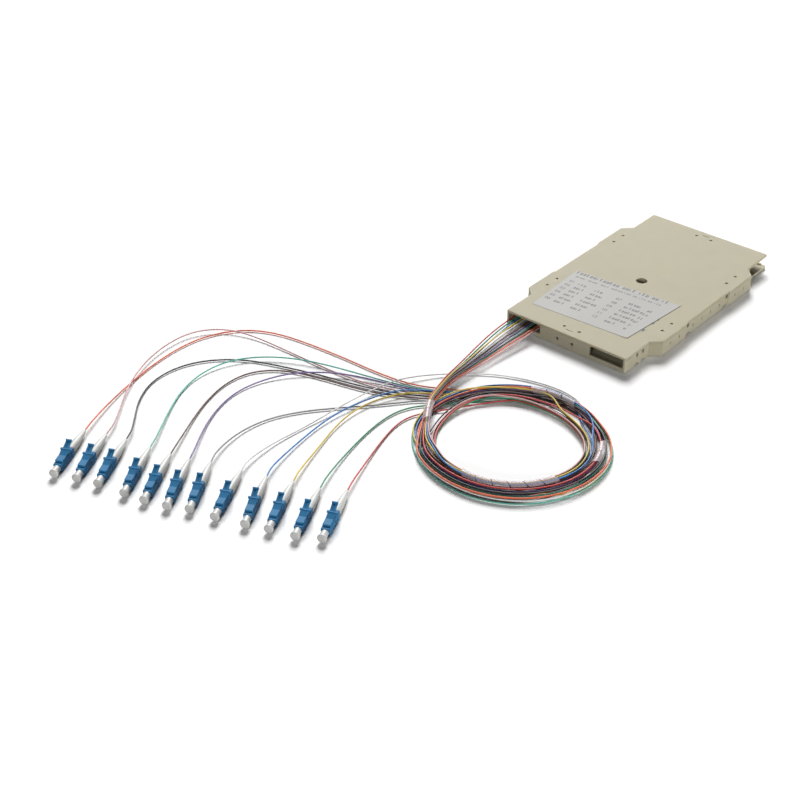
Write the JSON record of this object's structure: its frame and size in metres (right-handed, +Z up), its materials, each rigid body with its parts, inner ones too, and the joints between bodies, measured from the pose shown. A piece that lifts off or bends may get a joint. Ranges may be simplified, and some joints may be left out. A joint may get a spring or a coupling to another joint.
{
  "type": "fibre cassette",
  "caption": "Flat snap-lid splice cassette whose coloured pigtails run through a loose coil to capped small form factor fibre plugs.",
  "frame": {"origin": "middle of the cassette's underside, without the pigtails", "axes": "+X across the cassette, +Y along its length away from the windows that the pigtails leave by, +Z up through the lid"},
  "size_m": [0.2645, 0.4329, 0.0099],
  "materials": {
    "ivory_plastic": "fine matt moulded, ivory",
    "label_film": "satin printed film",
    "comb_rubber": "matt",
    "splice_sleeve": "clear heat-shrink",
    "wound_fibre": "mixed coloured coatings",
    "coiled_fibre": "mixed coloured jackets",
    "clear_sleeve": "clear flexible tube",
    "blue_plastic": "smooth moulded, blue",
    "boot_rubber": "satin off-white",
    "cap_plastic": "cloudy translucent",
    "ceramic": "polished white ceramic",
    "jacket_red": "smooth 0.9 mm jacket",
    "jacket_green": "smooth 0.9 mm jacket",
    "jacket_blue": "smooth 0.9 mm jacket",
    "jacket_yellow": "smooth 0.9 mm jacket",
    "jacket_white": "smooth 0.9 mm jacket",
    "jacket_grey": "smooth 0.9 mm jacket",
    "jacket_brown": "smooth 0.9 mm jacket",
    "jacket_violet": "smooth 0.9 mm jacket",
    "jacket_turquoise": "smooth 0.9 mm jacket",
    "jacket_black": "smooth 0.9 mm jacket",
    "jacket_orange": "smooth 0.9 mm jacket",
    "jacket_pink": "smooth 0.9 mm jacket"
  },
  "bodies": {
    "cassette": {"cassette_tray": "ivory_plastic", "splice_comb": "comb_rubber", "splice_protectors": "splice_sleeve", "fibre_store": "wound_fibre", "fibre_coil": "coiled_fibre", "ferrules": "ceramic", "sleeve_upper": "clear_sleeve", "sleeve_left": "clear_sleeve", "sleeve_lower": "clear_sleeve", "sleeve_right": "clear_sleeve", "plug_housing_01": "blue_plastic", "boot_01": "boot_rubber", "pigtail_01": "jacket_red", "plug_housing_02": "blue_plastic", "boot_02": "boot_rubber", "pigtail_02": "jacket_green", "plug_housing_03": "blue_plastic", "boot_03": "boot_rubber", "pigtail_03": "jacket_blue", "plug_housing_04": "blue_plastic", "boot_04": "boot_rubber", "pigtail_04": "jacket_yellow", "plug_housing_05": "blue_plastic", "boot_05": "boot_rubber", "pigtail_05": "jacket_white", "plug_housing_06": "blue_plastic", "boot_06": "boot_rubber", "pigtail_06": "jacket_grey", "plug_housing_07": "blue_plastic", "boot_07": "boot_rubber", "pigtail_07": "jacket_brown", "plug_housing_08": "blue_plastic", "boot_08": "boot_rubber", "pigtail_08": "jacket_violet", "plug_housing_09": "blue_plastic", "boot_09": "boot_rubber", "pigtail_09": "jacket_turquoise", "plug_housing_10": "blue_plastic", "boot_10": "boot_rubber", "pigtail_10": "jacket_black", "plug_housing_11": "blue_plastic", "boot_11": "boot_rubber", "pigtail_11": "jacket_orange", "plug_housing_12": "blue_plastic", "boot_12": "boot_rubber", "pigtail_12": "jacket_pink"},
    "lid": {"cassette_lid": "ivory_plastic", "label": "label_film"},
    "cap_01": {"dust_cap_01": "cap_plastic"},
    "cap_02": {"dust_cap_02": "cap_plastic"},
    "cap_03": {"dust_cap_03": "cap_plastic"},
    "cap_04": {"dust_cap_04": "cap_plastic"},
    "cap_05": {"dust_cap_05": "cap_plastic"},
    "cap_06": {"dust_cap_06": "cap_plastic"},
    "cap_07": {"dust_cap_07": "cap_plastic"},
    "cap_08": {"dust_cap_08": "cap_plastic"},
    "cap_09": {"dust_cap_09": "cap_plastic"},
    "cap_10": {"dust_cap_10": "cap_plastic"},
    "cap_11": {"dust_cap_11": "cap_plastic"},
    "cap_12": {"dust_cap_12": "cap_plastic"}
  },
  "joints": [
    {"name": "lid_lift", "type": "slide", "parent": "cassette", "child": "lid", "axis": [0, 0, 1], "range_m": [0, 0.03]},
    {"name": "cap_01_pull", "type": "slide", "parent": "cassette", "child": "cap_01", "axis": [0.4051, -0.9143, 0], "range_m": [0, 0.012]},
    {"name": "cap_02_pull", "type": "slide", "parent": "cassette", "child": "cap_02", "axis": [0.421, -0.907, 0], "range_m": [0, 0.012]},
    {"name": "cap_03_pull", "type": "slide", "parent": "cassette", "child": "cap_03", "axis": [0.4818, -0.8763, 0], "range_m": [0, 0.012]},
    {"name": "cap_04_pull", "type": "slide", "parent": "cassette", "child": "cap_04", "axis": [0.4384, -0.8988, 0], "range_m": [0, 0.012]},
    {"name": "cap_05_pull", "type": "slide", "parent": "cassette", "child": "cap_05", "axis": [0.4337, -0.9011, 0], "range_m": [0, 0.012]},
    {"name": "cap_06_pull", "type": "slide", "parent": "cassette", "child": "cap_06", "axis": [0.5105, -0.8599, 0], "range_m": [0, 0.012]},
    {"name": "cap_07_pull", "type": "slide", "parent": "cassette", "child": "cap_07", "axis": [0.4695, -0.8829, 0], "range_m": [0, 0.012]},
    {"name": "cap_08_pull", "type": "slide", "parent": "cassette", "child": "cap_08", "axis": [0.503, -0.8643, 0], "range_m": [0, 0.012]},
    {"name": "cap_09_pull", "type": "slide", "parent": "cassette", "child": "cap_09", "axis": [0.4848, -0.8746, 0], "range_m": [0, 0.012]},
    {"name": "cap_10_pull", "type": "slide", "parent": "cassette", "child": "cap_10", "axis": [0.4617, -0.887, 0], "range_m": [0, 0.012]},
    {"name": "cap_11_pull", "type": "slide", "parent": "cassette", "child": "cap_11", "axis": [0.4431, -0.8965, 0], "range_m": [0, 0.012]},
    {"name": "cap_12_pull", "type": "slide", "parent": "cassette", "child": "cap_12", "axis": [0.4524, -0.8918, 0], "range_m": [0, 0.012]}
  ]
}
